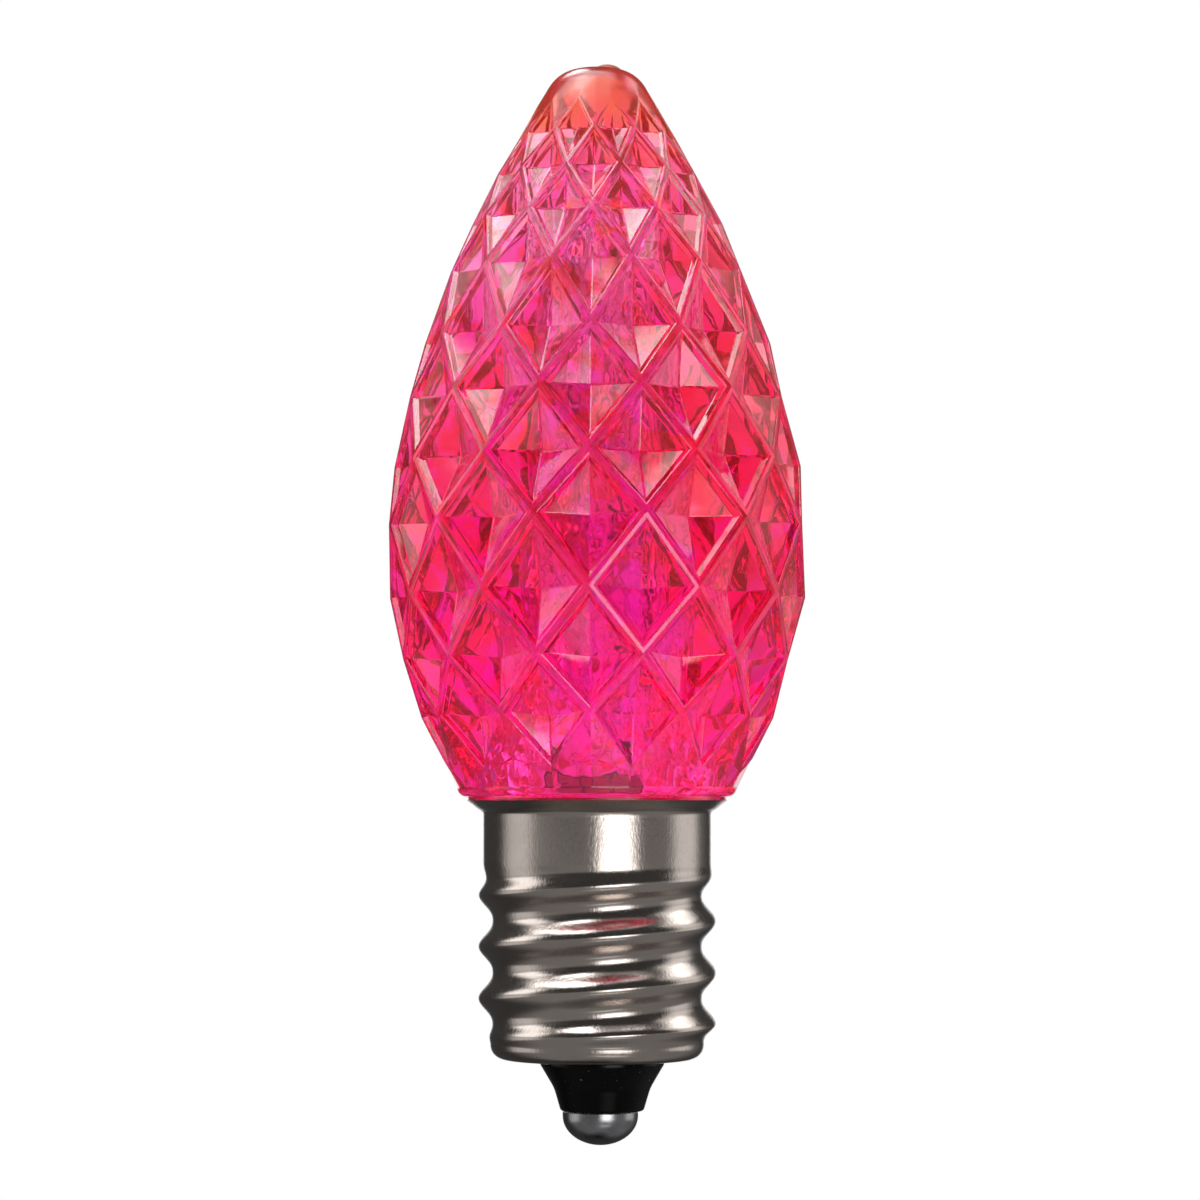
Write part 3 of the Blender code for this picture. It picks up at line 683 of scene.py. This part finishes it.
def finish_piece(thing, paint, node, degrees):
    """Shades a piece smooth up to an angle, paints it, and puts it in the place of its node."""
    for face in thing.data.polygons:
        face.use_smooth = True
    thing.data.set_sharp_from_angle(angle=math.radians(degrees))
    thing.data.materials.clear()
    thing.data.materials.append(paint)
    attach(thing, "root")
    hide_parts(node)


def hollow_outline():
    """Outline of the hollow: a short straight mouth, a taper, and a dome."""
    dome_foot = HOLLOW_TOP - HOLLOW_DOME
    points = [(0.0, HOLLOW_FOOT), (HOLLOW_MOUTH, HOLLOW_FOOT), (HOLLOW_MOUTH, HOLLOW_TAPER),
              (HOLLOW_TIP, dome_foot)]
    for part in range(1, DOME_PARTS):
        turn = 0.5 * math.pi * part / DOME_PARTS
        points.append((HOLLOW_TIP * math.cos(turn), dome_foot + HOLLOW_DOME * math.sin(turn)))
    points.append((0.0, HOLLOW_TOP))
    return points


def add_lens(paint):
    """The faceted lens with its hollow, the slots for the board's ears and the gate mark on top."""
    bm, diamonds, rings = lattice_body()
    cut_pits(bm, diamonds, rings)
    bmesh.ops.recalc_face_normals(bm, faces=bm.faces)
    lens = add_object("lens_body", bm)
    cut(lens, add_object("hollow", spun(hollow_outline(), HOLLOW_STEPS)))
    cut(lens, block("slots", EAR_SLOTS, EAR_SLOTS_HEIGHT))
    gate = bmesh.new()
    bmesh.ops.create_icosphere(gate, subdivisions=GATE_FINENESS, radius=1.0)
    cut(lens, placed("gate", gate, GATE_SIZE, GATE_PLACE), "UNION")
    finish_piece(lens, paint, "lens", degrees=9.0)


# Screw shell, with the same rolled thread as the frame's, in millimetres. The flare's points have a
# share of its reach and a share of its rise.
SHELL_WALL, SHELL_RADIUS, RIM_RADIUS, FLARE_RISE = 0.20, 5.62, 6.43, 0.53
FLARE = (
    (0.80, 0.78), (0.60, 0.55), (0.42, 0.32), (0.25, 0.14), (0.12, 0.02), (0.04, -0.10), (0.0, -0.25),
    (0.0, -0.6),
)
FLOOR_HEIGHT, FLOOR_ROUND, FLOOR_PARTS, FOOT_RADIUS = 4.22, 0.70, 12, 5.26
THREAD_PITCH, CREST_RADIUS, ROOT_RADIUS, CREST_HEIGHT, CREST_SHARPNESS = 2.54, 5.85, 5.16, 10.35, 1.25
CREST_ANGLE = math.radians(272.0)
THREAD_TOP, THREAD_FULL_TOP, THREAD_FULL_FOOT, THREAD_FOOT = 13.85, 12.10, 6.00, 4.92
THREAD_RINGS, SHELL_STEPS = 120, 240
HOLE_SHIFT, HOLE_RADIUS, FLOOR_RING = 0.25, 2.65, 4.2
# How far a height may be off and still count as equal
HAIR = 1e-4


def eased(value, start, end):
    """0 before the start, 1 after the end, and a smooth step between them."""
    share = min(1.0, max(0.0, (value - start) / (end - start)))
    return share * share * (3.0 - 2.0 * share)


def thread_radius(angle, height):
    """Radius of the rolled thread, which fades into the plain band above it and the foot below it."""
    turns = (height - CREST_HEIGHT) / THREAD_PITCH - (angle - CREST_ANGLE) / TURN
    wave = 0.5 + 0.5 * math.cos(TURN * turns)
    rolled = ROOT_RADIUS + (CREST_RADIUS - ROOT_RADIUS) * wave**CREST_SHARPNESS
    plain = SHELL_RADIUS if height > 0.5 * (THREAD_TOP + THREAD_FOOT) else FOOT_RADIUS
    into = eased(height, THREAD_TOP, THREAD_FULL_TOP) * eased(height, THREAD_FOOT, THREAD_FULL_FOOT)
    return plain + (rolled - plain) * into


def shell_outline():
    """Outline of the shell before the thread is rolled: the flare, the wall and the rounded floor."""
    foot = RIM_HEIGHT - FLARE_RISE
    run = RIM_RADIUS - SHELL_RADIUS
    profile = [(RIM_RADIUS, RIM_HEIGHT)]
    for share, rise in FLARE:
        profile.append((SHELL_RADIUS + share * run, foot + rise * FLARE_RISE))
    for ring in range(THREAD_RINGS + 1):
        profile.append((SHELL_RADIUS, THREAD_TOP + (THREAD_FOOT - THREAD_TOP) * ring / THREAD_RINGS))
    for part in range(1, FLOOR_PARTS + 1):
        turn = 0.5 * math.pi * part / FLOOR_PARTS
        profile.append((FOOT_RADIUS - FLOOR_ROUND * (1.0 - math.cos(turn)),
                        FLOOR_HEIGHT + FLOOR_ROUND * (1.0 - math.sin(turn))))
    profile += [(FLOOR_RING, FLOOR_HEIGHT), (HOLE_RADIUS, FLOOR_HEIGHT)]
    return profile


def roll_thread(bm):
    """Moves the wall's points onto the thread, and the hole's edge to its place off the axis."""
    hole_reach = 0.5 * (HOLE_RADIUS + FLOOR_RING) * MM
    for vert in bm.verts:
        height = vert.co.z / MM
        here = math.hypot(vert.co.x, vert.co.y)
        if THREAD_FOOT - HAIR <= height <= THREAD_TOP + HAIR:
            factor = thread_radius(math.atan2(vert.co.y, vert.co.x) % TURN, height) * MM / here
            vert.co.x *= factor
            vert.co.y *= factor
        elif height < FLOOR_HEIGHT + HAIR and here < hole_reach:
            vert.co.x += HOLE_SHIFT * MM


def add_shell(paint):
    """The thin shell. Its faces point outwards, because the sheet grows inwards from them."""
    bm = spun(shell_outline(), SHELL_STEPS)
    roll_thread(bm)
    outward = sum(face.normal.dot(Vector((*face.calc_center_median().xy, 0.0))) for face in bm.faces)
    if outward < 0.0:
        bmesh.ops.reverse_faces(bm, faces=bm.faces)
    shell = add_object("shell_body", bm)
    sheet = shell.modifiers.new("sheet", "SOLIDIFY")
    sheet.thickness = SHELL_WALL * MM
    sheet.offset = -1.0
    sheet.use_even_offset = True
    apply(shell)
    finish_piece(shell, paint, "screw_shell", degrees=50.0)


# Insulator and contact, in millimetres. The insulator's outline gives a radius, a height and how far
# each corner's round reaches. It starts at the bore for the contact's stem, goes up outside, and comes
# back down through the lead's hole.
PLUG_OUTLINE = (
    (0.95, 1.68, 0.0), (2.05, 1.68, 0.14), (2.38, 2.80, 0.25), (3.06, 3.95, 0.06), (3.06, 4.17, 0.05),
    (2.60, 4.17, 0.0), (2.60, 4.47, 0.0), (4.55, 4.47, 0.1), (4.55, 6.30, 0.1), (0.30, 6.30, 0.0),
    (0.30, 2.98, 0.0), (0.95, 2.98, 0.0),
)
PLUG_STEPS, PLUG_SHIFT, BORE_REACH = 128, 0.25, 1.5
BOARD_SLOT, BOARD_SLOT_HEIGHT = (4.5, 0.9, 1.0), 6.30
CONTACT_RADIUS, CONTACT_TOP, CONTACT_FULLNESS = 1.86, 1.63, 0.88
CONTACT_PARTS, CONTACT_STEPS, CONTACT_SHIFT = 24, 96, 0.16
STEM_RADIUS, STEM_LENGTH = 0.90, 1.30


def add_insulator(paint):
    """The plug is a little off the axis, and its bore is in line with the contact."""
    line = rounded([corner[:2] for corner in PLUG_OUTLINE], [corner[2] for corner in PLUG_OUTLINE])
    bm = spun(line + [line[0]], PLUG_STEPS)
    for vert in bm.verts:
        inside = math.hypot(vert.co.x, vert.co.y) < BORE_REACH * MM
        vert.co.x += (CONTACT_SHIFT if inside else PLUG_SHIFT) * MM
    plug = add_object("plug_body", bm)
    cut(plug, block("slot", BOARD_SLOT, BOARD_SLOT_HEIGHT))
    finish_piece(plug, paint, "insulator", degrees=30.0)


def add_contact(paint):
    """The rounded contact and its stem."""
    points = [(0.0, 0.0)]
    for part in range(1, CONTACT_PARTS + 1):
        turn = 0.5 * math.pi * part / CONTACT_PARTS
        points.append((CONTACT_RADIUS * math.sin(turn),
                       CONTACT_FULLNESS * CONTACT_TOP * (1.0 - math.cos(turn))))
    stem_top = CONTACT_TOP + STEM_LENGTH
    points += [(CONTACT_RADIUS, CONTACT_TOP), (STEM_RADIUS, CONTACT_TOP), (STEM_RADIUS, stem_top),
               (0.0, stem_top)]
    bm = spun(points, CONTACT_STEPS)
    bmesh.ops.translate(bm, vec=Vector((CONTACT_SHIFT, 0.0, 0.0)) * MM, verts=bm.verts)
    finish_piece(add_object("contact_body", bm), paint, "centre_contact", degrees=40.0)


def dress(node, paint):
    """Gives a node of the frame its material and leaves its mesh as it is."""
    mesh = NODES[node].data
    mesh.materials.clear()
    mesh.materials.append(paint)


def dress_inside():
    """Gives the pieces inside their materials; their shapes are the frame's own."""
    board = plain_paint("board_green", BOARD_DARK, BOARD_LIGHT, rough=0.38, scale=500.0)
    dress("circuit_board", board)
    chip = plain_paint("chip_white", CHIP_YELLOW, CHIP_WHITE, rough=0.35, scale=900.0)
    dark = plain_paint("package_black", grey(0.015), grey(0.035), rough=0.45, scale=1500.0)
    tinned = plain_paint("tinned_wire", grey(0.50), grey(0.66), rough=0.28, scale=2500.0, metallic=1.0)
    for name in NODES:
        if name.startswith("light_chip"):
            dress(name, chip)
        if name.startswith("resistor") or name == "rectifier":
            dress(name, dark)
        if name.endswith("_lead"):
            dress(name, tinned)


set_view()
add_camera()
add_world()
add_floor()
add_lens(lens_paint())
add_shell(nickel_paint())
add_insulator(black_paint())
add_contact(solder_paint())
dress_inside()
